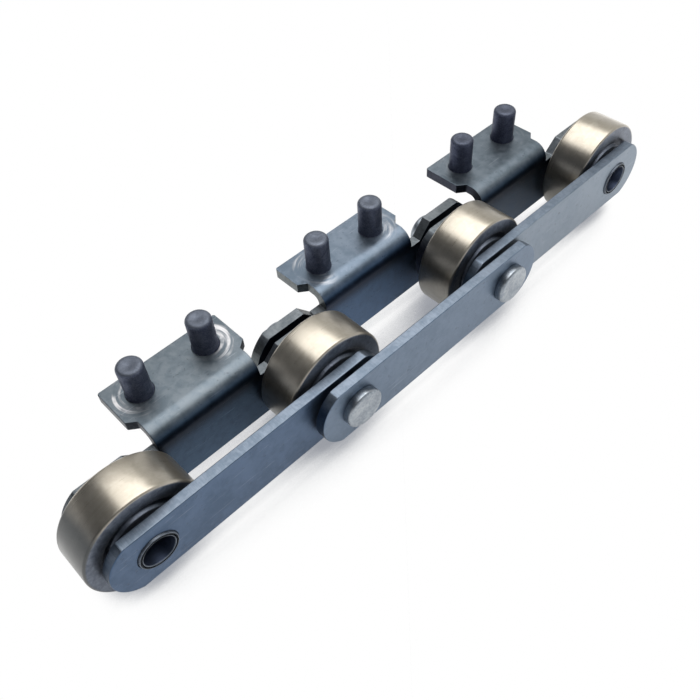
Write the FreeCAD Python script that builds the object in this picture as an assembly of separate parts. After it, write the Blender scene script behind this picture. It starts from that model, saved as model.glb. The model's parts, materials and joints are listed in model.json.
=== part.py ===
import FreeCAD, Part
import math
import os

# Roller conveyor chain, three links long: a bush link, a pin link and a bush link.
# X runs along the chain from its first joint, Y points to the side with the wings, Z is up.
# The origin is the middle of the first bush, so every joint axis is parallel to Y at height zero.
# All sizes are in millimetres.

# Links in order, each named with the kind of link it is
links = [("first", "bush"), ("middle", "pin"), ("last", "bush")]
pitch = 100.0

# Side plates: flat bars whose ends are arcs that meet the long edges at corners; reaches are from the joint
plate_height = 32.0
bush_wing_plate_height = 33.0
pin_wing_plate_height = 36.0
plate_thickness = 5.0
plate_corner_reach = 11.0
plate_end_reach = 21.0
plate_edge_break = 0.5

# Pins, riveted over the pin link's plates
pin_diameter = 14.0
pin_running_clearance = 0.05
pin_head_diameter = 19.5
pin_head_height = 4.0
pin_head_rim_radius = 1.3
pin_tail_diameter = 16.0
pin_tail_height = 9.0
pin_tail_rim_radius = 1.5
press_fit_clearance = 0.01

# Bushes, pressed through the bush link's plates and standing a little proud of them
bush_wall = 1.95
bush_stand_out = 0.8
bush_edge_break = 0.5
bush_end_clearance = 1.2

# Rollers, loose on the bushes, with a shallow ring groove in each side
roller_diameter = 54.0
roller_width = 20.0
roller_running_clearance = 0.1
roller_side_clearance = 2.0
roller_rim_radius = 1.4
roller_bore_break = 0.6
roller_hub_wall = 6.4
roller_groove_width = 4.0
roller_groove_depth = 1.6
roller_groove_wall_slope = 0.5

# Studs, two up through each wing from a head below it, each with a thicker seat that fills the wing's hole
stud_diameter = 11.5
stud_seat_diameter = 12.0
stud_spacing = 34.0
stud_stand_out = 17.2
stud_tip_round = 1.8
stud_head_diameter = 16.0
stud_head_height = 5.5
stud_head_edge_break = 0.8
stud_head_clearance = 0.1
stud_hole_clearance = 0.05

# Wings: the middle of each far plate, bent outwards to lie flat a little above the plate's top edge; the pin
# link's is a little longer and wider than the bush link's
wing_top_height = 19.2
wing_bend_inner_radius = 3.5
bush_wing_edge_distance = 11.7
pin_wing_edge_distance = 13.2
bush_wing_end_distance = 13.4
pin_wing_end_distance = 15.4
wing_shoulder_step = 4.0
wing_shoulder_past_bend = 3.0
wing_shoulder_run = 3.0
wing_corner_radius = 1.2

# Relief beside each wing: a low seat, then a slope up to the plate's full-height ear
relief_seat_length = 6.0
relief_slope_run = 7.0
relief_below_bend = 0.5

# Sizes that follow from the ones above: plates, bushes and rollers
half_height = plate_height / 2
wing_plate_half_height = {"bush": bush_wing_plate_height / 2, "pin": pin_wing_plate_height / 2}
pin_radius = pin_diameter / 2
bush_bore_radius = pin_radius + pin_running_clearance
bush_radius = bush_bore_radius + bush_wall
roller_bore_radius = bush_radius + roller_running_clearance
bush_link_face = roller_width / 2 + roller_side_clearance
bush_half_length = bush_link_face + plate_thickness + bush_stand_out
pin_link_face = bush_half_length + bush_end_clearance

# Sizes that follow: wings, reliefs and studs, with the studs in one line along the chain
wing_underside = wing_top_height - plate_thickness
bend_outer_radius = wing_bend_inner_radius + plate_thickness
bend_start_height = wing_top_height - bend_outer_radius
stud_line_reach = pin_link_face + bend_outer_radius + stud_head_diameter / 2 + stud_head_clearance
bush_wing_reach = stud_line_reach + bush_wing_edge_distance
pin_wing_reach = stud_line_reach + pin_wing_edge_distance
wing_reach = {"bush": bush_wing_reach, "pin": pin_wing_reach}
bush_wing_half_length = stud_spacing / 2 + bush_wing_end_distance
pin_wing_half_length = stud_spacing / 2 + pin_wing_end_distance
wing_half_length = {"bush": bush_wing_half_length, "pin": pin_wing_half_length}
relief_height = bend_start_height - relief_below_bend
stud_hole_radius = stud_seat_diameter / 2 + stud_hole_clearance
stud_head_low = wing_underside - stud_head_height
stud_top_height = wing_top_height + stud_stand_out

# Directions, a full turn, how far a cutter passes the faces it cuts, and when two sizes are equal
along = FreeCAD.Vector(1, 0, 0)
across = FreeCAD.Vector(0, 1, 0)
up = FreeCAD.Vector(0, 0, 1)
full_turn = 360.0
cutter_overrun = 2.0
same_size = 1e-4


def point(x, y, z):
    return FreeCAD.Vector(x, y, z)


def straight(start, end):
    return Part.LineSegment(start, end).toShape()


def arc(start, middle, end):
    return Part.Arc(start, middle, end).toShape()


def face_of(edges):
    return Part.Face(Part.Wire(edges))


def polygon_face(corners):
    return Part.Face(Part.makePolygon(corners + corners[:1]))


def turned(profile):
    # A turned piece from (radius, y) corners, about the Y axis through the origin
    corners = [point(radius, y, 0) for radius, y in profile]
    return polygon_face(corners).revolve(point(0, 0, 0), across, full_turn)


def rod(radius, start, length, direction):
    return Part.makeCylinder(radius, length, start, direction)


def drilled(shape, radius, entry, depth, direction):
    # A round hole through a wall of the given depth, from its entry face along a direction
    start = entry - direction * cutter_overrun
    return shape.cut(rod(radius, start, depth + 2 * cutter_overrun, direction))


def circles_of(shape, radius, height, direction):
    # Circular edges of one radius that lie at one height along a direction
    found = []
    for edge in shape.Edges:
        is_circle = isinstance(edge.Curve, Part.Circle)
        if not is_circle or abs(edge.Curve.Radius - radius) > same_size:
            continue
        if abs(edge.Curve.Center.dot(direction) - height) < same_size:
            found.append(edge)
    return found


def full_height_top(y):
    # Top edge of a plain plate, straight from its first corner to its last
    first = point(-plate_corner_reach, y, half_height)
    last = point(pitch + plate_corner_reach, y, half_height)
    return [straight(first, last)]


def relieved_top(kind, y):
    # Top edge with an ear over each joint and a lower seat between them, from which the wing rises
    neck_start = pitch / 2 - wing_half_length[kind] + wing_shoulder_step
    seat_start = neck_start - relief_seat_length
    ear_height = wing_plate_half_height[kind]
    ear = [(-plate_corner_reach, ear_height), (seat_start - relief_slope_run, ear_height)]
    ear.append((seat_start, relief_height))
    mirrored = [(pitch - x, z) for x, z in reversed(ear)]
    corners = [point(x, y, z) for x, z in ear + mirrored]
    return [straight(a, b) for a, b in zip(corners, corners[1:])]


def plate_blank(y, half, top_edges):
    # Flat plate from joint to joint, its lower face in Y at y, each end an arc through both corners
    last_top = point(pitch + plate_corner_reach, y, half)
    last_end = point(pitch + plate_end_reach, y, 0)
    last_low = point(pitch + plate_corner_reach, y, -half)
    first_low = point(-plate_corner_reach, y, -half)
    first_end = point(-plate_end_reach, y, 0)
    first_top = point(-plate_corner_reach, y, half)
    edges = list(top_edges)
    edges.append(arc(last_top, last_end, last_low))
    edges.append(straight(last_low, first_low))
    edges.append(arc(first_low, first_end, first_top))
    return face_of(edges).extrude(across * plate_thickness)


def bend_arc(centre_y, radius):
    # Quarter turn of the bend, from the upright wall to the flat wing
    diagonal = radius * math.sqrt(0.5)
    low = point(0, centre_y - radius, bend_start_height)
    middle = point(0, centre_y - diagonal, bend_start_height + diagonal)
    high = point(0, centre_y, bend_start_height + radius)
    return arc(low, middle, high)


def wing_section(kind, y):
    # Section across the chain: the wall above the seat, the bend and the flat wing
    foot_height = relief_height - plate_thickness
    bend_y = y + bend_outer_radius
    foot_outer = point(0, y, foot_height)
    foot_inner = point(0, y + plate_thickness, foot_height)
    tip_top = point(0, wing_reach[kind], wing_top_height)
    tip_low = point(0, wing_reach[kind], wing_underside)
    edges = [straight(foot_outer, point(0, y, bend_start_height))]
    edges.append(bend_arc(bend_y, bend_outer_radius))
    edges.append(straight(point(0, bend_y, wing_top_height), tip_top))
    edges.append(straight(tip_top, tip_low))
    edges.append(straight(tip_low, point(0, bend_y, wing_underside)))
    edges.append(bend_arc(bend_y, wing_bend_inner_radius))
    edges.append(straight(point(0, y + plate_thickness, bend_start_height), foot_inner))
    edges.append(straight(foot_inner, foot_outer))
    return face_of(edges)


def wing_plan(kind, y):
    # Plan of the wing: a neck over the bend, a short slope out to full length, round outer corners
    neck_end = y + bend_outer_radius + wing_shoulder_past_bend
    shoulder_end = neck_end + wing_shoulder_run
    foot_height = relief_height - plate_thickness
    full = wing_half_length[kind]
    neck = full - wing_shoulder_step
    reach = wing_reach[kind]
    half = [(neck, y), (neck, neck_end), (full, shoulder_end), (full, reach)]
    other = [(-x, depth) for x, depth in reversed(half)]
    outline = polygon_face([point(pitch / 2 + x, depth, foot_height) for x, depth in half + other])
    prism = outline.extrude(up * (wing_top_height - foot_height))
    corners = []
    for edge in prism.Edges:
        upright = edge.tangentAt(edge.FirstParameter).cross(up).Length < same_size
        if upright and abs(edge.CenterOfMass.y - reach) < same_size:
            corners.append(edge)
    return prism.makeFillet(wing_corner_radius, corners)


def stud_places():
    return [pitch / 2 - stud_spacing / 2, pitch / 2 + stud_spacing / 2]


def plate(kind, winged):
    # One side plate at the first link's place: a plain one on the near side or a winged one on the far
    face = bush_link_face if kind == "bush" else pin_link_face
    fitted = bush_radius if kind == "bush" else pin_radius
    y = face if winged else -face - plate_thickness
    if winged:
        body = plate_blank(y, wing_plate_half_height[kind], relieved_top(kind, y))
        wing = wing_section(kind, y).extrude(along * pitch).common(wing_plan(kind, y))
        body = body.fuse(wing).removeSplitter()
    else:
        body = plate_blank(y, half_height, full_height_top(y))
    body = body.makeFillet(plate_edge_break, body.Edges)
    for x in (0, pitch):
        body = drilled(body, fitted + press_fit_clearance, point(x, y, 0), plate_thickness, across)
    if winged:
        for x in stud_places():
            entry = point(x, stud_line_reach, wing_underside)
            body = drilled(body, stud_hole_radius, entry, plate_thickness, up)
    return body


def bush():
    end = bush_half_length
    cut = bush_edge_break
    half = [(bush_bore_radius, end - cut), (bush_bore_radius + cut, end)]
    half += [(bush_radius - cut, end), (bush_radius, end - cut)]
    return turned(half + [(radius, -y) for radius, y in reversed(half)])


def roller():
    rim = roller_diameter / 2
    hub = roller_bore_radius + roller_hub_wall
    wall = hub + roller_groove_width
    side = roller_width / 2
    floor = side - roller_groove_depth
    cut = roller_bore_break
    slope = roller_groove_wall_slope
    half = [(roller_bore_radius, side - cut), (roller_bore_radius + cut, side), (hub, side)]
    half += [(hub + slope, floor), (wall - slope, floor), (wall, side), (rim, side)]
    body = turned(half + [(radius, -y) for radius, y in reversed(half)])
    rims = circles_of(body, rim, side, across) + circles_of(body, rim, -side, across)
    return body.makeFillet(roller_rim_radius, rims)


def pin():
    near = -pin_link_face - plate_thickness
    far = pin_link_face + plate_thickness
    head = near - pin_head_height
    tail = far + pin_tail_height
    head_radius = pin_head_diameter / 2
    tail_radius = pin_tail_diameter / 2
    profile = [(0, head), (head_radius, head), (head_radius, near), (pin_radius, near)]
    profile += [(pin_radius, far), (tail_radius, far), (tail_radius, tail), (0, tail)]
    body = turned(profile)
    body = body.makeFillet(pin_head_rim_radius, circles_of(body, head_radius, head, across))
    return body.makeFillet(pin_tail_rim_radius, circles_of(body, tail_radius, tail, across))


def stud():
    radius = stud_diameter / 2
    head_radius = stud_head_diameter / 2
    head = rod(head_radius, point(0, 0, stud_head_low), stud_head_height, up)
    rims = circles_of(head, head_radius, stud_head_low, up)
    rims += circles_of(head, head_radius, wing_underside, up)
    head = head.makeChamfer(stud_head_edge_break, rims)
    seat = rod(stud_seat_diameter / 2, point(0, 0, stud_head_low), wing_top_height - stud_head_low, up)
    shank = rod(radius, point(0, 0, stud_head_low), stud_top_height - stud_head_low, up)
    shank = shank.makeFillet(stud_tip_round, circles_of(shank, radius, stud_top_height, up))
    return shank.fuse([seat, head]).removeSplitter()


def moved(shape, x, y=0.0):
    placed = shape.copy()
    placed.translate(point(x, y, 0))
    return placed


def save(name, shape):
    if not shape.isValid() or len(shape.Solids) != 1:
        raise ValueError(name + " is not one sound solid")
    shape.Solids[0].exportStep("parts/" + name + ".step")


os.makedirs("parts", exist_ok=True)

for index, (name, kind) in enumerate(links):
    link_x = index * pitch
    save(name + "_link_near_plate", moved(plate(kind, False), link_x))
    save(name + "_link_wing_plate", moved(plate(kind, True), link_x))
    for number, x in enumerate(stud_places(), start=1):
        save(name + "_wing_stud_" + str(number), moved(stud(), link_x + x, stud_line_reach))
    for joint in (index, index + 1):
        joint_number = str(joint + 1)
        if kind == "bush":
            save("bush_" + joint_number, moved(bush(), joint * pitch))
            save("roller_" + joint_number, moved(roller(), joint * pitch))
        else:
            save("pin_" + joint_number, moved(pin(), joint * pitch))
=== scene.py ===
import json
import math

import bmesh
import bpy
from mathutils import Euler, Matrix, Vector


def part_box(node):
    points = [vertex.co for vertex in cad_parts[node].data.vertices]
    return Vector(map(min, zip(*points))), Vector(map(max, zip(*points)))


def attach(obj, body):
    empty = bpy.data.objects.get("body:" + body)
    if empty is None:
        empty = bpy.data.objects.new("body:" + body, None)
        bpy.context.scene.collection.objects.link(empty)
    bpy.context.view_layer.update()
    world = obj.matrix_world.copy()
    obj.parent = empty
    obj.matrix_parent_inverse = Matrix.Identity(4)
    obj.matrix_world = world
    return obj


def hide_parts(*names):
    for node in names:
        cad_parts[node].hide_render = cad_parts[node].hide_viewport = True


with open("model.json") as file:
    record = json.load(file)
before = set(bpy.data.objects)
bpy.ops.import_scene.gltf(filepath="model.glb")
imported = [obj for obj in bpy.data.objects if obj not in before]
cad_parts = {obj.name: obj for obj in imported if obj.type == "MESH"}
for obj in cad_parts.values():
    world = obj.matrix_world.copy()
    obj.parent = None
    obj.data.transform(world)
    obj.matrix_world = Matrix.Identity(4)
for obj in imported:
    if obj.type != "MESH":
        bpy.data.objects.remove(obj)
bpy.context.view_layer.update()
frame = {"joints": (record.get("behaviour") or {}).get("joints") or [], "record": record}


# Rollers: four turned steel rings, loose on the bushes between the side plates.
# The tread is ground bright, with round rims, and a painted dark reflection lies on its lower left. The
# sides stay dark from hardening, and a shallow ring groove on each side parts the hub from the rim.
mm = 0.001
pitch = frame["joints"][0]["pos_m"][0]
roller_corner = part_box("roller_1")[1]
roller_radius = roller_corner.z
roller_side = roller_corner.y
roller_bore_radius = 9.1 * mm
roller_bore_break = 0.6 * mm
roller_hub_radius = 15.5 * mm
roller_groove_radius = 19.5 * mm
roller_groove_depth = 1.6 * mm
roller_groove_slope = 0.5 * mm
roller_groove_round = 0.4 * mm
roller_rim_round = 1.4 * mm
roller_rim_steps = 5
small_round_steps = 2
roller_steps = 144
same_place = 0.01 * mm
sharp_from = math.radians(38)

body_of = {}
for body, members in frame["record"]["behaviour"]["bodies"].items():
    for node in members:
        body_of[node] = body


def select_only(piece):
    bpy.ops.object.select_all(action="DESELECT")
    bpy.context.view_layer.objects.active = piece
    piece.select_set(True)


def start_point(name, place):
    # A new piece in edit mode, drawn from one point: a small plane merged to its middle
    bpy.ops.object.select_all(action="DESELECT")
    bpy.ops.mesh.primitive_plane_add(size=mm, enter_editmode=True)
    piece = bpy.context.object
    piece.name = name
    piece.data.name = name
    bpy.ops.mesh.select_mode(type="VERT")
    bpy.ops.mesh.merge(type="CENTER")
    bpy.ops.transform.translate(value=place)
    return piece


def draw_to(start, end):
    # Extrudes the selected point, edge or face by the way from start to end
    bpy.ops.mesh.extrude_region_move(TRANSFORM_OT_translate={"value": end - start})


def pick(piece, kind, wanted):
    # Selects the points, edges or faces of a piece in edit mode that pass a test
    bpy.ops.mesh.select_mode(type=kind)
    bpy.ops.mesh.select_all(action="DESELECT")
    mesh = bmesh.from_edit_mesh(piece.data)
    parts = {"VERT": mesh.verts, "EDGE": mesh.edges, "FACE": mesh.faces}[kind]
    for part in parts:
        if wanted(part):
            part.select_set(True)
    bmesh.update_edit_mesh(piece.data)


def close_up():
    # Merges what meets, closes the shape and turns its faces outwards
    bpy.ops.mesh.select_mode(type="VERT")
    bpy.ops.mesh.select_all(action="SELECT")
    bpy.ops.mesh.remove_doubles(threshold=same_place)
    bpy.ops.mesh.normals_make_consistent(inside=False)


def turned(name, profile, axis, steps, ring=False):
    # A lathe-turned piece at the origin, from (radius, place along the axis) corners.
    # A ring has an open bore.
    lathe = Vector(axis)
    outward = Vector((0, 0, 1)) if lathe.y else Vector((1, 0, 0))
    places = [outward * radius + lathe * along for radius, along in profile]
    piece = start_point(name, places[0])
    for start, end in zip(places, places[1:]):
        draw_to(start, end)
    if ring:
        pick(piece, "VERT", lambda point: (point.co - places[0]).length < same_place
             or (point.co - places[-1]).length < same_place)
        bpy.ops.mesh.edge_face_add()
    bpy.ops.mesh.select_all(action="SELECT")
    bpy.ops.mesh.spin(steps=steps, angle=math.tau, center=(0, 0, 0), axis=axis)
    close_up()
    return piece


def bevel_rings(piece, axis, corners, width, segments):
    # Rounds the circular edges that lie at (radius, place along the axis) corners
    lathe = Vector(axis)

    def on_ring(point):
        along = point.co.dot(lathe)
        radius = (point.co - lathe * along).length
        for corner_radius, corner_along in corners:
            if abs(radius - corner_radius) < same_place and abs(along - corner_along) < same_place:
                return True
        return False

    pick(piece, "EDGE", lambda edge: on_ring(edge.verts[0]) and on_ring(edge.verts[1])
         and abs((edge.verts[0].co - edge.verts[1].co).dot(lathe)) < same_place)
    bpy.ops.mesh.bevel(offset=width, segments=segments, affect="EDGES")


def smooth(piece):
    # Leaves edit mode, then smooths all but the corners sharper than an angle
    bpy.ops.object.mode_set(mode="OBJECT")
    select_only(piece)
    bpy.ops.object.shade_smooth_by_angle(angle=sharp_from)


def copy_at(piece, name, offset):
    # A copy with its own mesh, moved by an offset
    other = piece.copy()
    other.data = piece.data.copy()
    other.name = name
    other.data.name = name
    bpy.context.collection.objects.link(other)
    other.data.transform(Matrix.Translation(offset))
    return other


def stand_for(piece, node, *materials):
    # The piece takes a node's place, with its body and its materials
    for material in materials:
        piece.data.materials.append(material)
    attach(piece, body_of[node])
    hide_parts(node)


def new_group(name, inputs, outputs):
    # An empty shader group with named sockets; returns its tree, its entry and its exit
    group = bpy.data.node_groups.new(name, "ShaderNodeTree")
    for title, kind, value in inputs:
        socket = group.interface.new_socket(title, in_out="INPUT", socket_type="NodeSocket" + kind)
        socket.default_value = value
    for title, kind in outputs:
        group.interface.new_socket(title, in_out="OUTPUT", socket_type="NodeSocket" + kind)
    return group, group.nodes.new("NodeGroupInput"), group.nodes.new("NodeGroupOutput")


def put(tree, target, value):
    # Sets a socket to a value, or links another node's socket to it
    if isinstance(value, bpy.types.NodeSocket):
        tree.links.new(value, target)
    else:
        target.default_value = value


def maths(tree, operation, *values):
    node = tree.nodes.new("ShaderNodeMath")
    node.operation = operation
    for socket, value in zip(node.inputs, values):
        put(tree, socket, value)
    return node.outputs[0]


def vector_maths(tree, operation, *values):
    node = tree.nodes.new("ShaderNodeVectorMath")
    node.operation = operation
    for socket, value in zip(node.inputs, values):
        put(tree, socket, value)
    return node.outputs["Value"] if operation == "LENGTH" else node.outputs["Vector"]


def split(tree, vector):
    node = tree.nodes.new("ShaderNodeSeparateXYZ")
    put(tree, node.inputs[0], vector)
    return node.outputs[0], node.outputs[1], node.outputs[2]


def joined(tree, x, y, z):
    node = tree.nodes.new("ShaderNodeCombineXYZ")
    for socket, value in zip(node.inputs, (x, y, z)):
        put(tree, socket, value)
    return node.outputs[0]


def noise(tree, vector, scale, detail, roughness, distortion=0.0, fourth=None):
    node = tree.nodes.new("ShaderNodeTexNoise")
    if fourth is not None:
        node.noise_dimensions = "4D"
        put(tree, node.inputs["W"], fourth)
    put(tree, node.inputs["Vector"], vector)
    put(tree, node.inputs["Scale"], scale)
    node.inputs["Detail"].default_value = detail
    node.inputs["Roughness"].default_value = roughness
    node.inputs["Distortion"].default_value = distortion
    return node.outputs["Fac"]


def ranged(tree, value, low, high, new_low=0.0, new_high=1.0):
    # A value spread smoothly from one range to another
    node = tree.nodes.new("ShaderNodeMapRange")
    node.interpolation_type = "SMOOTHSTEP"
    for socket, amount in zip(node.inputs, (value, low, high, new_low, new_high)):
        put(tree, socket, amount)
    return node.outputs[0]


def mixed(tree, factor, first, second, blend="MIX"):
    node = tree.nodes.new("ShaderNodeMix")
    node.data_type = "RGBA"
    node.blend_type = blend
    put(tree, node.inputs["Factor"], factor)
    put(tree, node.inputs[6], first)
    put(tree, node.inputs[7], second)
    return node.outputs[2]


def grouped(tree, group, **values):
    # A group placed in a tree, its named sockets set or linked
    node = tree.nodes.new("ShaderNodeGroup")
    node.node_tree = group
    for title, value in values.items():
        put(tree, node.inputs[title.capitalize()], value)
    return node.outputs


def steel(name):
    # A new metal material; returns it with its tree, its shader and the place on the piece
    material = bpy.data.materials.new(name)
    material.use_nodes = True
    tree = material.node_tree
    shader = tree.nodes["Principled BSDF"]
    shader.inputs["Metallic"].default_value = 1.0
    place = tree.nodes.new("ShaderNodeTexCoord")
    return material, tree, shader, place


def raised(tree, shader, height, depth):
    # Fine relief from a height that varies over the surface
    bump = tree.nodes.new("ShaderNodeBump")
    bump.inputs["Distance"].default_value = depth
    put(tree, bump.inputs["Height"], height)
    put(tree, shader.inputs["Normal"], bump.outputs["Normal"])


# Clouding: the uneven tone that hardening and oil leave on steel, large clouds broken by small ones
clouding, entry, leave = new_group(
    "clouding",
    [("Position", "Vector", (0, 0, 0)), ("Size", "Float", 60.0), ("Dark", "Color", (0, 0, 0, 1)),
     ("Light", "Color", (1, 1, 1, 1))],
    [("Color", "Color"), ("Mask", "Float")])
small_cloud_scale = 7.0
small_cloud_share = 0.45
cloud_dark_below = 0.36
cloud_light_above = 0.64
large = noise(clouding, entry.outputs["Position"], entry.outputs["Size"],
              detail=4.0, roughness=0.6, distortion=0.8)
small_size = maths(clouding, "MULTIPLY", entry.outputs["Size"], small_cloud_scale)
small = noise(clouding, entry.outputs["Position"], small_size, detail=3.0, roughness=0.6, distortion=0.4)
large_part = maths(clouding, "MULTIPLY", large, 1 - small_cloud_share)
both = maths(clouding, "MULTIPLY_ADD", small, small_cloud_share, large_part)
cloud_mask = ranged(clouding, both, cloud_dark_below, cloud_light_above)
put(clouding, leave.inputs["Mask"], cloud_mask)
put(clouding, leave.inputs["Color"],
    mixed(clouding, cloud_mask, entry.outputs["Dark"], entry.outputs["Light"]))

# Tool marks: fine rings that a lathe leaves about the Y axis, on the tread and on the sides alike
tool_marks, entry, leave = new_group(
    "tool marks", [("Position", "Vector", (0, 0, 0)), ("Lines", "Float", 2500.0)], [("Marks", "Float")])
x, y, z = split(tool_marks, entry.outputs["Position"])
radius = vector_maths(tool_marks, "LENGTH", joined(tool_marks, x, 0.0, z))
safe_radius = maths(tool_marks, "MAXIMUM", radius, same_place)
along = maths(tool_marks, "MULTIPLY", y, entry.outputs["Lines"])
outward = maths(tool_marks, "MULTIPLY", radius, entry.outputs["Lines"])
ring_wander = 1.4
turn_x = maths(tool_marks, "MULTIPLY", maths(tool_marks, "DIVIDE", x, safe_radius), ring_wander)
turn_z = maths(tool_marks, "MULTIPLY", maths(tool_marks, "DIVIDE", z, safe_radius), ring_wander)
put(tool_marks, leave.inputs["Marks"],
    noise(tool_marks, joined(tool_marks, along, outward, turn_x), 1.0, detail=2.0, roughness=0.6,
          fourth=turn_z))

# Grain: the fine tooth of pickled or blasted steel, with a few small pits
grain, entry, leave = new_group(
    "grain", [("Position", "Vector", (0, 0, 0)), ("Size", "Float", 2200.0)],
    [("Height", "Float"), ("Pits", "Float")])
pit_scale = 0.28
pit_from = 0.68
pit_full = 0.78
tooth = noise(grain, entry.outputs["Position"], entry.outputs["Size"], detail=3.0, roughness=0.65)
pit_size = maths(grain, "MULTIPLY", entry.outputs["Size"], pit_scale)
dents = noise(grain, entry.outputs["Position"], pit_size, detail=1.0, roughness=0.4)
pits = ranged(grain, dents, pit_from, pit_full)
put(grain, leave.inputs["Pits"], pits)
put(grain, leave.inputs["Height"], maths(grain, "SUBTRACT", tooth, pits))


def from_joint(tree, position):
    # The place on a piece, counted along the chain from its own joint
    x, y, z = split(tree, position)
    return joined(tree, maths(tree, "WRAP", x, pitch / 2, -pitch / 2), y, z)


tread_dark = (0.30, 0.277, 0.237, 1)
tread_light = (0.36, 0.335, 0.29, 1)
side_dark = (0.07, 0.085, 0.115, 1)
side_light = (0.14, 0.16, 0.20, 1)
# The painted dark reflection on the tread's lower left: its tone, where it starts, how far it spreads and
# how much shows
oil_tone = (0.022, 0.032, 0.044, 1)
oil_first_start = -1 * mm
oil_other_start = 3.5 * mm
oil_spread = 11 * mm
oil_drip = 4 * mm
oil_first_share = 0.82
oil_other_share = 0.55
oil_side_x = -0.87
oil_side_z = -0.5
tread_tone_from = 1.3 * mm
tread_tone_full = 0.5 * mm
low_mark_grey = (0.25, 0.25, 0.25, 1)
high_mark_grey = (0.8, 0.8, 0.8, 1)
mark_strength = 0.3
roller_metallic = 0.85
side_roughness = 0.40
tread_roughness_less = -0.15
mark_roughness_more = 0.08

roller_steel, tree, shader, place = steel("roller steel")
shader.inputs["Metallic"].default_value = roller_metallic
position = from_joint(tree, place.outputs["Object"])
clouds = grouped(tree, clouding, position=place.outputs["Object"], size=45.0,
                 dark=tread_dark, light=tread_light)
dark_clouds = grouped(tree, clouding, position=place.outputs["Object"], size=90.0,
                      dark=side_dark, light=side_light)
marks = grouped(tree, tool_marks, position=position, lines=2600.0)["Marks"]
x, y, z = split(tree, position)
from_axis = vector_maths(tree, "LENGTH", joined(tree, x, 0.0, z))
on_tread = ranged(tree, from_axis, roller_radius - tread_tone_from, roller_radius - tread_tone_full)
# Painted dark reflection: the tread's lower left is darkened, with a ragged edge, most on the first roller
drip = noise(tree, position, 120.0, detail=3.0, roughness=0.6)
low_side = maths(tree, "MULTIPLY_ADD", x, oil_side_x, maths(tree, "MULTIPLY", z, oil_side_z))
along_chain = split(tree, place.outputs["Object"])[0]
oil_start = ranged(tree, along_chain, 0.0, pitch, oil_first_start, oil_other_start)
wetness = maths(tree, "SUBTRACT", maths(tree, "MULTIPLY_ADD", drip, oil_drip, low_side), oil_start)
oiled = ranged(tree, wetness, 0.0, oil_spread)
oil_share = ranged(tree, along_chain, 0.0, pitch, oil_first_share, oil_other_share)
tread_tone = mixed(tree, maths(tree, "MULTIPLY", oiled, oil_share), clouds["Color"], oil_tone)
tone = mixed(tree, on_tread, dark_clouds["Color"], tread_tone)
mark_grey = mixed(tree, marks, low_mark_grey, high_mark_grey)
put(tree, shader.inputs["Base Color"], mixed(tree, mark_strength, tone, mark_grey, "SOFT_LIGHT"))
worn = maths(tree, "MULTIPLY_ADD", on_tread, tread_roughness_less, side_roughness)
put(tree, shader.inputs["Roughness"], maths(tree, "MULTIPLY_ADD", marks, mark_roughness_more, worn))
raised(tree, shader, marks, depth=0.006 * mm)

bush_axis = (0, 1, 0)
half = [(roller_bore_radius, roller_side - roller_bore_break),
        (roller_bore_radius + roller_bore_break, roller_side),
        (roller_hub_radius, roller_side),
        (roller_hub_radius + roller_groove_slope, roller_side - roller_groove_depth),
        (roller_groove_radius - roller_groove_slope, roller_side - roller_groove_depth),
        (roller_groove_radius, roller_side),
        (roller_radius, roller_side)]
profile = half + [(radius, -along) for radius, along in reversed(half)]
roller = turned("turned_roller", profile, bush_axis, roller_steps, ring=True)
rims = [(roller_radius, roller_side), (roller_radius, -roller_side)]
bevel_rings(roller, bush_axis, rims, roller_rim_round, roller_rim_steps)
groove_radii = [radius for radius, along in half[2:6]]
groove_rings = [corner for corner in profile if corner[0] in groove_radii]
bevel_rings(roller, bush_axis, groove_rings, roller_groove_round, small_round_steps)
smooth(roller)
for number in range(4):
    piece = copy_at(roller, "turned_roller_" + str(number + 1), (number * pitch, 0, 0))
    stand_for(piece, "roller_" + str(number + 1), roller_steel)
bpy.data.objects.remove(roller)


# Bushes: four hardened steel tubes, pressed through the bush links' plates and a little proud of them.
# The chain's pins turn in them, and the two at the ends are open for the next links.
bush_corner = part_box("bush_1")[1]
bush_radius = bush_corner.z
bush_end = bush_corner.y
bush_bore_radius = 7.05 * mm
bush_edge_break = 0.5 * mm
bush_steps = 96
bush_dark = (0.075, 0.09, 0.115, 1)
bush_light = (0.145, 0.165, 0.195, 1)
# The bore wall is painted darker than the rest of the bush, a painted shade inside the tube
bore_tone = (0.05, 0.065, 0.105, 1)
bore_tone_from = 0.15 * mm
bore_tone_full = 0.02 * mm
bush_roughness = 0.42
bush_roughness_more = 0.15

bush_steel, tree, shader, place = steel("bush steel")
position = from_joint(tree, place.outputs["Object"])
clouds = grouped(tree, clouding, position=place.outputs["Object"], size=150.0,
                 dark=bush_dark, light=bush_light)
marks = grouped(tree, tool_marks, position=position, lines=3500.0)["Marks"]
x, y, z = split(tree, position)
from_axis = vector_maths(tree, "LENGTH", joined(tree, x, 0.0, z))
# Painted shade on the bore wall
in_bore = ranged(tree, from_axis, bush_bore_radius + bore_tone_from, bush_bore_radius + bore_tone_full)
put(tree, shader.inputs["Base Color"], mixed(tree, in_bore, clouds["Color"], bore_tone))
put(tree, shader.inputs["Roughness"],
    maths(tree, "MULTIPLY_ADD", marks, bush_roughness_more, bush_roughness))
raised(tree, shader, marks, depth=0.01 * mm)

half = [(bush_bore_radius, bush_end), (bush_radius, bush_end)]
profile = half + [(radius, -along) for radius, along in reversed(half)]
bush = turned("pressed_bush", profile, bush_axis, bush_steps, ring=True)
bevel_rings(bush, bush_axis, profile, bush_edge_break, small_round_steps)
smooth(bush)
for number in range(4):
    piece = copy_at(bush, "pressed_bush_" + str(number + 1), (number * pitch, 0, 0))
    stand_for(piece, "bush_" + str(number + 1), bush_steel)
bpy.data.objects.remove(bush)


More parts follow.
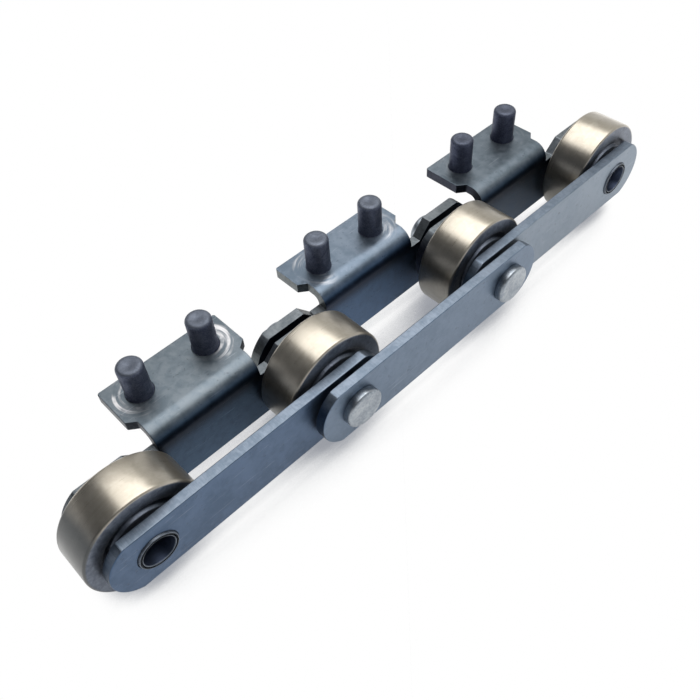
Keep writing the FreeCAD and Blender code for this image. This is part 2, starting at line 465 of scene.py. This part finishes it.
# Pins: two ground steel pins that hold the pin link to its neighbours, riveted over its plates.
# The near head is a round button with a soft rim, and the far one is lower, as closed in the press.
pin_near, pin_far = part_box("pin_2")
pin_radius = 7.0 * mm
pin_head_radius = pin_far.z
pin_plate_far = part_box("middle_link_near_plate")[0].y
pin_tail_radius = 8.0 * mm
pin_head_round = 1.3 * mm
pin_head_round_steps = 6
pin_tail_round = 1.5 * mm
pin_tail_round_steps = 5
pin_foot_round = 0.3 * mm
pin_dish_radius = 5.8 * mm
pin_dish_wall = 1.0 * mm
pin_dish_depth = 0.12 * mm
pin_steps = 96
pin_dark = (0.175, 0.20, 0.235, 1)
pin_light = (0.29, 0.32, 0.35, 1)
pin_roughness = 0.42
light_cloud_roughness_less = -0.1

pin_steel, tree, shader, place = steel("pin steel")
position = from_joint(tree, place.outputs["Object"])
clouds = grouped(tree, clouding, position=place.outputs["Object"], size=130.0,
                 dark=pin_dark, light=pin_light)
marks = grouped(tree, tool_marks, position=position, lines=2000.0)["Marks"]
teeth = grouped(tree, grain, position=place.outputs["Object"], size=1800.0)
put(tree, shader.inputs["Base Color"], clouds["Color"])
put(tree, shader.inputs["Roughness"],
    maths(tree, "MULTIPLY_ADD", clouds["Mask"], light_cloud_roughness_less, pin_roughness))
raised(tree, shader, maths(tree, "ADD", marks, teeth["Height"]), depth=0.01 * mm)

profile = [(0, pin_near.y + pin_dish_depth),
           (pin_dish_radius - pin_dish_wall, pin_near.y + pin_dish_depth),
           (pin_dish_radius, pin_near.y),
           (pin_head_radius, pin_near.y),
           (pin_head_radius, pin_plate_far),
           (pin_radius, pin_plate_far),
           (pin_radius, -pin_plate_far),
           (pin_tail_radius, -pin_plate_far),
           (pin_tail_radius, pin_far.y),
           (pin_dish_radius, pin_far.y),
           (pin_dish_radius - pin_dish_wall, pin_far.y - pin_dish_depth),
           (0, pin_far.y - pin_dish_depth)]
pin = turned("riveted_pin", profile, bush_axis, pin_steps)
bevel_rings(pin, bush_axis, [profile[3]], pin_head_round, pin_head_round_steps)
bevel_rings(pin, bush_axis, [profile[8]], pin_tail_round, pin_tail_round_steps)
bevel_rings(pin, bush_axis, [profile[4], profile[7]], pin_foot_round, small_round_steps)
smooth(pin)
for number in (2, 3):
    piece = copy_at(pin, "riveted_pin_" + str(number), ((number - 1) * pitch, 0, 0))
    stand_for(piece, "pin_" + str(number), pin_steel)
bpy.data.objects.remove(pin)


# Near side plates: three flat steel bars, sheared to length with round ends and drilled for their joint.
# The middle one lies outside its neighbours. Their faces are blue-grey and satin, lighter along the chain
# with a painted sheen, and their sheared edges are darker at the ends, a painted shade.
near_low, near_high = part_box("first_link_near_plate")
plate_thickness = near_high.y - near_low.y
plate_end_reach = -near_low.x
plate_corner_reach = 11 * mm
plate_edge_break = 0.5 * mm
plate_edge_break_steps = 3
hole_clearance = 0.01 * mm
bush_hole_radius = bush_radius + hole_clearance
pin_hole_radius = pin_radius + hole_clearance
hole_steps = 96
end_steps = 28
edge_break_from = math.radians(35)
scratch_scale = (60.0, 900.0, 1800.0)
scratch_from = 0.66
scratch_full = 0.74
scratch_tone = (0.42, 0.45, 0.5, 1)
scratch_share = 0.15
scratch_roughness_less = -0.08
scratch_height = -0.5
pit_tone = (0.03, 0.035, 0.045, 1)
pit_share = 0.3
cloud_roughness_more = 0.1
shear_scale = (2600.0, 120.0, 900.0)
shear_low_grey = (0.2, 0.2, 0.2, 1)
shear_strength = 0.5
shear_roughness_more = 0.14
level_from = 0.5
level_full = 0.85


def spun(about, angle, axis, steps):
    # Spins what is selected about a point; a positive angle turns right-handed about the axis
    bpy.ops.mesh.spin(steps=steps, angle=-angle, center=about, axis=axis)


def draw_plate(name, first_joint, y, half_height, top):
    # A flat plate's outline at y, in edit mode: its top, then its ends and its lower edge.
    # Each end is an arc through both corners and the end of the plate.
    places = [Vector((first_joint + x, y, z)) for x, z in top]
    piece = start_point(name, places[0])
    for start, end in zip(places, places[1:]):
        draw_to(start, end)
    chord = plate_end_reach - plate_corner_reach
    arc_centre = plate_end_reach - (half_height ** 2 + chord ** 2) / (2 * chord)
    sweep = 2 * math.atan2(half_height, plate_corner_reach - arc_centre)
    low_last = Vector((first_joint + pitch + plate_corner_reach, y, -half_height))
    low_first = Vector((first_joint - plate_corner_reach, y, -half_height))
    spun((first_joint + pitch + arc_centre, y, 0), sweep, bush_axis, end_steps)
    draw_to(low_last, low_first)
    spun((first_joint - arc_centre, y, 0), sweep, bush_axis, end_steps)
    bpy.ops.mesh.select_all(action="SELECT")
    bpy.ops.mesh.remove_doubles(threshold=same_place)
    bpy.ops.mesh.edge_face_add()
    return piece


def modified(piece, kind, **settings):
    # A modifier, set and applied
    select_only(piece)
    modifier = piece.modifiers.new(kind, kind)
    for title, value in settings.items():
        setattr(modifier, title, value)
    bpy.ops.object.modifier_apply(modifier=modifier.name)


def bored(piece, radius, centre, axis):
    # A round hole through a plate about a point in it
    turn = Vector((0, 0, 1)).rotation_difference(Vector(axis)).to_euler()
    bpy.ops.object.select_all(action="DESELECT")
    bpy.ops.mesh.primitive_cylinder_add(vertices=hole_steps, radius=radius, depth=4 * plate_thickness,
                                        location=centre, rotation=turn)
    drill = bpy.context.object
    modified(piece, "BOOLEAN", object=drill, operation="DIFFERENCE", solver="EXACT")
    bpy.data.objects.remove(drill)


def finished(piece, width):
    # Edges broken all round, flat faces kept flat in the shading
    modified(piece, "BEVEL", width=width, segments=plate_edge_break_steps, limit_method="ANGLE",
             angle_limit=edge_break_from)
    select_only(piece)
    bpy.ops.object.shade_smooth_by_angle(angle=sharp_from)
    modified(piece, "WEIGHTED_NORMAL", keep_sharp=True, weight=100)


def plate_material(name, dark, light, roughness):
    # Rolled and hardened face: clouds, a fine tooth and a few drawn scratches along the bar.
    # Its tree, shader, place and colour are returned too, so that a wing can add to them.
    material, tree, shader, place = steel(name)
    position = place.outputs["Object"]
    clouds = grouped(tree, clouding, position=position, size=38.0, dark=dark, light=light)
    teeth = grouped(tree, grain, position=position, size=2000.0)
    drawn_place = vector_maths(tree, "MULTIPLY", position, scratch_scale)
    drawn = noise(tree, drawn_place, 1.0, detail=2.0, roughness=0.6)
    scratches = ranged(tree, drawn, scratch_from, scratch_full)
    scratch_shown = maths(tree, "MULTIPLY", scratches, scratch_share)
    scratched = mixed(tree, scratch_shown, clouds["Color"], scratch_tone)
    pitted = mixed(tree, maths(tree, "MULTIPLY", teeth["Pits"], pit_share), scratched, pit_tone)
    put(tree, shader.inputs["Base Color"], pitted)
    spread = maths(tree, "MULTIPLY_ADD", clouds["Mask"], cloud_roughness_more,
                   roughness - cloud_roughness_more / 2)
    put(tree, shader.inputs["Roughness"],
        maths(tree, "MULTIPLY_ADD", scratches, scratch_roughness_less, spread))
    relief = maths(tree, "MULTIPLY_ADD", scratches, scratch_height, teeth["Height"])
    raised(tree, shader, relief, depth=0.03 * mm)
    return material, tree, shader, place, pitted


def edge_material(name, dark, light, roughness, ends):
    # Sheared edge: fine upright shear lines, in their full tone on top and below.
    # The ends are multiplied by a given tone, a painted shade for faces turned from the light.
    material, tree, shader, place = steel(name)
    position = place.outputs["Object"]
    clouds = grouped(tree, clouding, position=position, size=70.0, dark=dark, light=light)
    line_place = vector_maths(tree, "MULTIPLY", position, shear_scale)
    lines = noise(tree, line_place, 1.0, detail=2.0, roughness=0.65)
    line_grey = mixed(tree, lines, shear_low_grey, high_mark_grey)
    lined = mixed(tree, shear_strength, clouds["Color"], line_grey, "OVERLAY")
    # Painted shade: the ends are darkened by the given tone
    dull = mixed(tree, 1.0, lined, ends, "MULTIPLY")
    upward = maths(tree, "ABSOLUTE", split(tree, place.outputs["Normal"])[2])
    level = ranged(tree, upward, level_from, level_full)
    put(tree, shader.inputs["Base Color"], mixed(tree, level, dull, lined))
    put(tree, shader.inputs["Roughness"],
        maths(tree, "MULTIPLY_ADD", lines, shear_roughness_more, roughness - shear_roughness_more / 2))
    raised(tree, shader, lines, depth=0.03 * mm)
    return material


# Each plate has its own tone, the first the darkest and bluest and the last the lightest: a painted sheen
# along the chain
links = ["first", "middle", "last"]
near_tones = {"first": ((0.045, 0.077, 0.132, 1), (0.078, 0.118, 0.19, 1)),
              "middle": ((0.085, 0.122, 0.176, 1), (0.13, 0.172, 0.234, 1)),
              "last": ((0.125, 0.162, 0.208, 1), (0.185, 0.222, 0.27, 1))}
face_roughness = 0.42
plate_edge_dark = (0.095, 0.122, 0.16, 1)
plate_edge_light = (0.145, 0.175, 0.22, 1)
# The painted shade on the plates' sheared ends
plate_ends_tone = (0.25, 0.33, 0.42, 1)
plate_edge = edge_material("plate edge", plate_edge_dark, plate_edge_light, face_roughness, plate_ends_tone)

for order, link in enumerate(links):
    node = link + "_link_near_plate"
    first_joint = order * pitch
    outer_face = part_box(node)[0].y
    half_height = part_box(node)[1].z
    top = [(-plate_corner_reach, half_height), (pitch + plate_corner_reach, half_height)]
    piece = draw_plate("flat_plate_" + link, first_joint, outer_face, half_height, top)
    bpy.ops.mesh.extrude_region_move(TRANSFORM_OT_translate={"value": (0, plate_thickness, 0)})
    close_up()
    pick(piece, "FACE", lambda face: abs(face.normal.y) < 0.5)
    dark, light = near_tones[link]
    piece.data.materials.append(plate_material("plate steel " + link, dark, light, face_roughness)[0])
    piece.data.materials.append(plate_edge)
    piece.active_material_index = 1
    bpy.ops.object.material_slot_assign()
    bpy.ops.object.mode_set(mode="OBJECT")
    hole_radius = pin_hole_radius if link == "middle" else bush_hole_radius
    for joint in (first_joint, first_joint + pitch):
        bored(piece, hole_radius, (joint, outer_face, 0), bush_axis)
    finished(piece, plate_edge_break)
    stand_for(piece, node)


# Winged side plates: three more bars on the far side, the middle of each bent outwards into a flat wing.
# A relief is cut beside each wing, so that the bend starts clear of the full-height ears over the joints.
wing_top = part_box("first_link_wing_plate")[1].z
wing_half_lengths = {"first": 30.4 * mm, "middle": 32.4 * mm, "last": 30.4 * mm}
shoulder_step = 4 * mm
wing_corner_round = 1.2 * mm
wing_corner_steps = 5
shoulder_past_bend = 3 * mm
shoulder_run = 3 * mm
bend_radius = 8.5 * mm
bend_steps = 14
bend_start = wing_top - bend_radius
relief_height = 10.2 * mm
relief_seat_length = 6 * mm
relief_slope_run = 7 * mm
stud_spacing = 34 * mm
stud_hole_radius = 6.05 * mm
stud_line = frame["record"]["mounts"][2]["pos_m"][1]

# Washer rub: the brighter arcs that a washer or a slat has scuffed round the outer side of each stud
rub_end_radius = 13.5 * mm
rub_full_radius = 11 * mm
rub_side_from = -3 * mm
rub_side_full = 5 * mm
swirls_across = 650.0
swirls_along = 70.0
swirl_from = 0.40
swirl_full = 0.70
patch_from = 0.38
patch_full = 0.58
washer_rub, entry, leave = new_group(
    "washer rub", [("Position", "Vector", (0, 0, 0)), ("Middle", "Float", 0.0)], [("Mask", "Float")])
x, y, z = split(washer_rub, entry.outputs["Position"])
from_middle = maths(washer_rub, "ABSOLUTE", maths(washer_rub, "SUBTRACT", x, entry.outputs["Middle"]))
aside = maths(washer_rub, "SUBTRACT", from_middle, stud_spacing / 2)
beyond = maths(washer_rub, "SUBTRACT", y, stud_line)
from_stud = vector_maths(washer_rub, "LENGTH", joined(washer_rub, aside, beyond, 0.0))
inside_rub = ranged(washer_rub, from_stud, rub_end_radius, rub_full_radius)
outer_half = ranged(washer_rub, aside, rub_side_from, rub_side_full)
swirl_place = joined(washer_rub, maths(washer_rub, "MULTIPLY", from_stud, swirls_across),
                     maths(washer_rub, "MULTIPLY", x, swirls_along),
                     maths(washer_rub, "MULTIPLY", y, swirls_along))
swirls = noise(washer_rub, swirl_place, 1.0, detail=2.0, roughness=0.55)
patches = noise(washer_rub, entry.outputs["Position"], 90.0, detail=3.0, roughness=0.6)
patchy = ranged(washer_rub, patches, patch_from, patch_full)
scuffs = maths(washer_rub, "MULTIPLY", patchy, ranged(washer_rub, swirls, swirl_from, swirl_full))
rub_place = maths(washer_rub, "MULTIPLY", inside_rub, outer_half)
put(washer_rub, leave.inputs["Mask"], maths(washer_rub, "MULTIPLY", scuffs, rub_place))

# The wings' tones: each link's own dark and light clouds, the painted shade on its sheared ends (almost
# none on the middle wing), and how much rub shows. The wall under each wing has painted shade: bluer and
# darker, nearly black under the bend.
wing_tones = {"first": ((0.08, 0.1, 0.12, 1), (0.135, 0.158, 0.18, 1), (0.5, 0.5, 0.55, 1), 1.0),
              "middle": ((0.088, 0.115, 0.15, 1), (0.138, 0.17, 0.215, 1), (1, 1, 0.95, 1), 0.5),
              "last": ((0.078, 0.1, 0.122, 1), (0.125, 0.15, 0.178, 1), (0.3, 0.3, 0.38, 1), 0.1)}
wall_tones = {"first": (0.34, 0.5, 0.72, 1),
              "middle": (0.38, 0.55, 0.78, 1),
              "last": (0.24, 0.34, 0.48, 1)}
grease_tone = (0.12, 0.16, 0.24, 1)
grease_from = 3 * mm
grease_full = 11 * mm
rub_tone = (0.5, 0.5, 0.52, 1)
wing_edge_dark = (0.08, 0.093, 0.105, 1)
wing_edge_light = (0.14, 0.155, 0.17, 1)
wing_edge_roughness = 0.45
inward_from = -0.55
inward_full = -0.95
under_bend_from = -0.85
under_bend_full = -0.99


def wing_materials(link, middle):
    # A wing plate's rolled face with painted shade, darker and bluer where it faces the rollers and darkest
    # under the bend, and rubbed round its studs; then its sheared edge
    dark, light, ends, rubbed = wing_tones[link]
    face, tree, shader, place, colour = plate_material("wing steel " + link, dark, light, face_roughness)
    position = place.outputs["Object"]
    outward = split(tree, place.outputs["Normal"])[1]
    upright = ranged(tree, outward, inward_from, inward_full)
    flat = maths(tree, "SUBTRACT", 1.0, upright)
    rub = grouped(tree, washer_rub, position=position, middle=middle)["Mask"]
    shown_rub = maths(tree, "MULTIPLY", maths(tree, "MULTIPLY", rub, flat), rubbed)
    scuffed = mixed(tree, shown_rub, colour, rub_tone)
    # Painted shade: the wall that faces the rollers is darkened and blued, and nearly black just under the
    # bend
    high = ranged(tree, split(tree, position)[2], grease_from, grease_full)
    greasy = maths(tree, "MULTIPLY", high, ranged(tree, outward, under_bend_from, under_bend_full))
    wall = mixed(tree, greasy, wall_tones[link], grease_tone)
    put(tree, shader.inputs["Base Color"], mixed(tree, upright, scuffed, wall, "MULTIPLY"))
    # The sheared ends take the link's painted shade
    edge = edge_material("wing edge " + link, wing_edge_dark, wing_edge_light, wing_edge_roughness, ends)
    return face, edge


for order, link in enumerate(links):
    node = link + "_link_wing_plate"
    first_joint = order * pitch
    middle = first_joint + pitch / 2
    inner_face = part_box(node)[0].y
    wing_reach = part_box(node)[1].y
    half_height = -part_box(node)[0].z
    wing_half_length = wing_half_lengths[link]
    neck_half = wing_half_length - shoulder_step
    neck_start = pitch / 2 - neck_half
    seat_start = neck_start - relief_seat_length
    half_top = [(-plate_corner_reach, half_height), (seat_start - relief_slope_run, half_height),
                (seat_start, relief_height), (neck_start, relief_height), (neck_start, bend_start)]
    top = half_top + [(pitch - x, z) for x, z in reversed(half_top)]
    piece = draw_plate("winged_plate_" + link, first_joint, inner_face, half_height, top)
    pick(piece, "EDGE", lambda edge: all(abs(point.co.z - bend_start) < same_place
                                         and abs(abs(point.co.x - middle) - neck_half) < same_place
                                         for point in edge.verts))
    bend_centre = Vector((middle, inner_face + bend_radius, bend_start))
    spun(bend_centre, -math.pi / 2, (1, 0, 0), bend_steps)
    bend_end = Vector((middle, inner_face + bend_radius, wing_top))
    shoulder_start = bend_end + Vector((0, shoulder_past_bend, 0))
    shoulder_end = shoulder_start + Vector((0, shoulder_run, 0))
    draw_to(bend_end, shoulder_start)
    draw_to(shoulder_start, shoulder_end)
    bpy.ops.transform.resize(value=(wing_half_length / neck_half, 1, 1), center_override=shoulder_end)
    draw_to(shoulder_end, Vector((middle, wing_reach, wing_top)))
    pick(piece, "VERT", lambda point: abs(point.co.y - wing_reach) < same_place)
    bpy.ops.mesh.bevel(offset=wing_corner_round, segments=wing_corner_steps, affect="VERTICES")
    close_up()
    bpy.ops.object.mode_set(mode="OBJECT")
    for material in wing_materials(link, middle):
        piece.data.materials.append(material)
    upright = max(piece.data.polygons, key=lambda face: face.area)
    outward_side = 1 if upright.normal.y > 0 else -1
    modified(piece, "SOLIDIFY", thickness=plate_thickness, offset=outward_side, use_even_offset=True,
             use_quality_normals=True, material_offset_rim=1)
    hole_radius = pin_hole_radius if link == "middle" else bush_hole_radius
    for joint in (first_joint, first_joint + pitch):
        bored(piece, hole_radius, (joint, inner_face, 0), bush_axis)
    for side in (-1, 1):
        bored(piece, stud_hole_radius, (middle + side * stud_spacing / 2, stud_line, wing_top), (0, 0, 1))
    finished(piece, plate_edge_break)
    stand_for(piece, node)


# Studs: two blackened steel studs through each wing, to bolt a slat or a carrier to.
# Each has a round head under the wing, a seat that fills the hole, and a plain shank with a rounded tip.
stud_low, stud_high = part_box("first_wing_stud_1")
stud_radius = 5.75 * mm
stud_seat_radius = 6.0 * mm
stud_head_radius = (stud_high.x - stud_low.x) / 2
stud_head_break = 0.8 * mm
stud_tip_round = 1.8 * mm
stud_tip_round_steps = 6
stud_dish_radius = 2.6 * mm
stud_dish_depth = 0.35 * mm
stud_steps = 64
wing_underside = wing_top - plate_thickness
stud_axis = (0, 0, 1)
stud_dark = (0.05, 0.06, 0.095, 1)
stud_light = (0.10, 0.115, 0.16, 1)
# Painted highlight on the stud tips, and painted shade on the last link's studs:
stud_tip_tone = (0.125, 0.14, 0.16, 1)
stud_tip_share = 0.5
stud_tip_from = 1.2 * mm
stud_tip_full = 0.2 * mm
last_studs_darkening = (0.7, 0.7, 0.75, 1)
last_studs_from = 1.7 * pitch
last_studs_full = 2.2 * pitch
stud_roughness = 0.62

stud_steel, tree, shader, place = steel("stud steel")
position = place.outputs["Object"]
clouds = grouped(tree, clouding, position=position, size=220.0, dark=stud_dark, light=stud_light)
teeth = grouped(tree, grain, position=position, size=1500.0)
x, y, z = split(tree, position)
# Painted light and shade: the tips are painted lighter, a painted highlight, and the last link's studs
# darker, a painted shade
at_tip = ranged(tree, z, stud_high.z - stud_tip_from, stud_high.z - stud_tip_full)
tone = mixed(tree, maths(tree, "MULTIPLY", at_tip, stud_tip_share), clouds["Color"], stud_tip_tone)
on_last_link = ranged(tree, x, last_studs_from, last_studs_full)
blacker = mixed(tree, 1.0, tone, last_studs_darkening, "MULTIPLY")
put(tree, shader.inputs["Base Color"], mixed(tree, on_last_link, tone, blacker))
put(tree, shader.inputs["Roughness"],
    maths(tree, "MULTIPLY_ADD", clouds["Mask"], light_cloud_roughness_less, stud_roughness))
raised(tree, shader, teeth["Height"], depth=0.05 * mm)

profile = [(0, stud_low.z), (stud_head_radius, stud_low.z), (stud_head_radius, wing_underside),
           (stud_seat_radius, wing_underside), (stud_seat_radius, wing_top), (stud_radius, wing_top),
           (stud_radius, stud_high.z), (stud_dish_radius, stud_high.z),
           (stud_dish_radius / 2, stud_high.z - stud_dish_depth), (0, stud_high.z - stud_dish_depth)]
stud = turned("headed_stud", profile, stud_axis, stud_steps)
bevel_rings(stud, stud_axis, [profile[1], profile[2]], stud_head_break, small_round_steps)
bevel_rings(stud, stud_axis, [profile[6]], stud_tip_round, stud_tip_round_steps)
smooth(stud)
for order, link in enumerate(links):
    for number, side in ((1, -1), (2, 1)):
        along_link = (order + 0.5) * pitch + side * stud_spacing / 2
        piece = copy_at(stud, f"headed_stud_{link}_{number}", (along_link, stud_line, 0))
        stand_for(piece, f"{link}_wing_stud_{number}", stud_steel)
bpy.data.objects.remove(stud)


# Floor: a plain white floor that the rollers stand on, wide enough to fill the view.
# It keeps the chain's shade, and the metal shows it white.
floor_size = 40.0
floor_tone = (0.8, 0.8, 0.8, 1)
white = (1, 1, 1, 1)
bpy.ops.object.select_all(action="DESELECT")
bpy.ops.mesh.primitive_plane_add(size=floor_size, location=(1.5 * pitch, 0, -roller_radius))
floor = bpy.context.object
floor.name = "white_floor"
floor_paint = bpy.data.materials.new("white floor")
floor_paint.use_nodes = True
floor_shader = floor_paint.node_tree.nodes["Principled BSDF"]
floor_shader.inputs["Base Color"].default_value = floor_tone
floor_shader.inputs["Roughness"].default_value = 1.0
floor_shader.inputs["Specular IOR Level"].default_value = 0.0
floor_shader.inputs["Emission Color"].default_value = white


def looked_at(tree):
    # One for what the camera sees, straight or in metal, and none for the light that falls on the chain
    rays = tree.nodes.new("ShaderNodeLightPath")
    seen = maths(tree, "MAXIMUM", rays.outputs["Is Camera Ray"], rays.outputs["Is Glossy Ray"])
    return maths(tree, "MAXIMUM", seen, rays.outputs["Is Transmission Ray"])


# The softbox lights the floor less further out, so the white that metal sees of it grows with the distance
lit_to = 0.4
unlit_from = 2.5
lit_glow = 0.4
unlit_glow = 1.0
tree = floor_paint.node_tree
from_chain = vector_maths(tree, "LENGTH", tree.nodes.new("ShaderNodeTexCoord").outputs["Object"])
glow = ranged(tree, from_chain, lit_to, unlit_from, lit_glow, unlit_glow)
put(tree, floor_shader.inputs["Emission Strength"], maths(tree, "MULTIPLY", looked_at(tree), glow))

# The camera looks through the floor to the white room and sees only the shade that the chain gives it, so
# that a link that hangs lower than the rollers still shows, and the softbox still reaches that link
shade_reach = 0.12
shade_tone = (0.32, 0.335, 0.37, 1)
shade_lean = (0.35, 0.2, 1.0)
shade_full = 0.24
shade_end = 0.56
shading = tree.nodes.new("ShaderNodeAmbientOcclusion")
shading.samples = 32
shading.inputs["Distance"].default_value = shade_reach
put(tree, shading.inputs["Normal"], vector_maths(tree, "NORMALIZE", shade_lean))
openness = ranged(tree, shading.outputs["AO"], shade_full, shade_end)
shade = mixed(tree, openness, shade_tone, white)
rays = tree.nodes.new("ShaderNodeLightPath")
from_below = maths(tree, "MULTIPLY", rays.outputs["Is Shadow Ray"],
                   tree.nodes.new("ShaderNodeNewGeometry").outputs["Backfacing"])
see_through = tree.nodes.new("ShaderNodeBsdfTransparent")
put(tree, see_through.inputs["Color"], mixed(tree, rays.outputs["Is Shadow Ray"], shade, white))
parted = tree.nodes.new("ShaderNodeMixShader")
put(tree, parted.inputs["Fac"], maths(tree, "MAXIMUM", rays.outputs["Is Camera Ray"], from_below))
put(tree, parted.inputs[1], floor_shader.outputs["BSDF"])
put(tree, parted.inputs[2], see_through.outputs["BSDF"])
put(tree, tree.nodes["Material Output"].inputs["Surface"], parted.outputs["Shader"])
floor.data.materials.append(floor_paint)


# Light: one large softbox over the chain, in a room that is pale on the right and dim on the left.
# Low down, the camera and the metal see the room white.
lamp = bpy.data.lights.new("overhead softbox", "AREA")
lamp.shape = "RECTANGLE"
lamp.size = 1.07
lamp.size_y = 1.3
lamp.energy = 17.5
lamp.color = (1.0, 0.98, 0.95)
softbox = bpy.data.objects.new("overhead_softbox", lamp)
bpy.context.collection.objects.link(softbox)
softbox.location = (0.415, 0.1, 0.95)

world = bpy.data.worlds.new("room")
world.use_nodes = True
room = world.node_tree
background = room.nodes["Background"]
way = room.nodes.new("ShaderNodeTexCoord").outputs["Generated"]
x, y, z = split(room, way)
dim_wall = (0.035, 0.042, 0.055, 1)
pale_wall = (0.73, 0.72, 0.68, 1)
dim_to = -0.1
pale_from = 0.8
white_from = 0.42
white_full = 0.28
walls = mixed(room, ranged(room, x, dim_to, pale_from), dim_wall, pale_wall)
horizon = maths(room, "MULTIPLY", looked_at(room), ranged(room, z, white_from, white_full))
put(room, background.inputs["Color"], mixed(room, horizon, walls, white))
bpy.context.scene.world = world


# Camera: above the near end of the chain and to its left, looking down along it.
# Its place, turn and lens give the chain the outline that it has in the photograph.
camera_place = (-0.0268, -0.1671, 0.2676)
camera_turn = (39.53, 2.82, -44.21)
camera_lens = 39.47
camera = bpy.data.objects.new("camera", bpy.data.cameras.new("camera"))
bpy.context.collection.objects.link(camera)
camera.location = camera_place
camera.rotation_euler = Euler([math.radians(angle) for angle in camera_turn], "XYZ")
camera.data.lens = camera_lens
camera.data.sensor_width = 36.0
camera.data.clip_start = 0.01
bpy.context.scene.camera = camera
bpy.context.scene.view_settings.view_transform = "Standard"
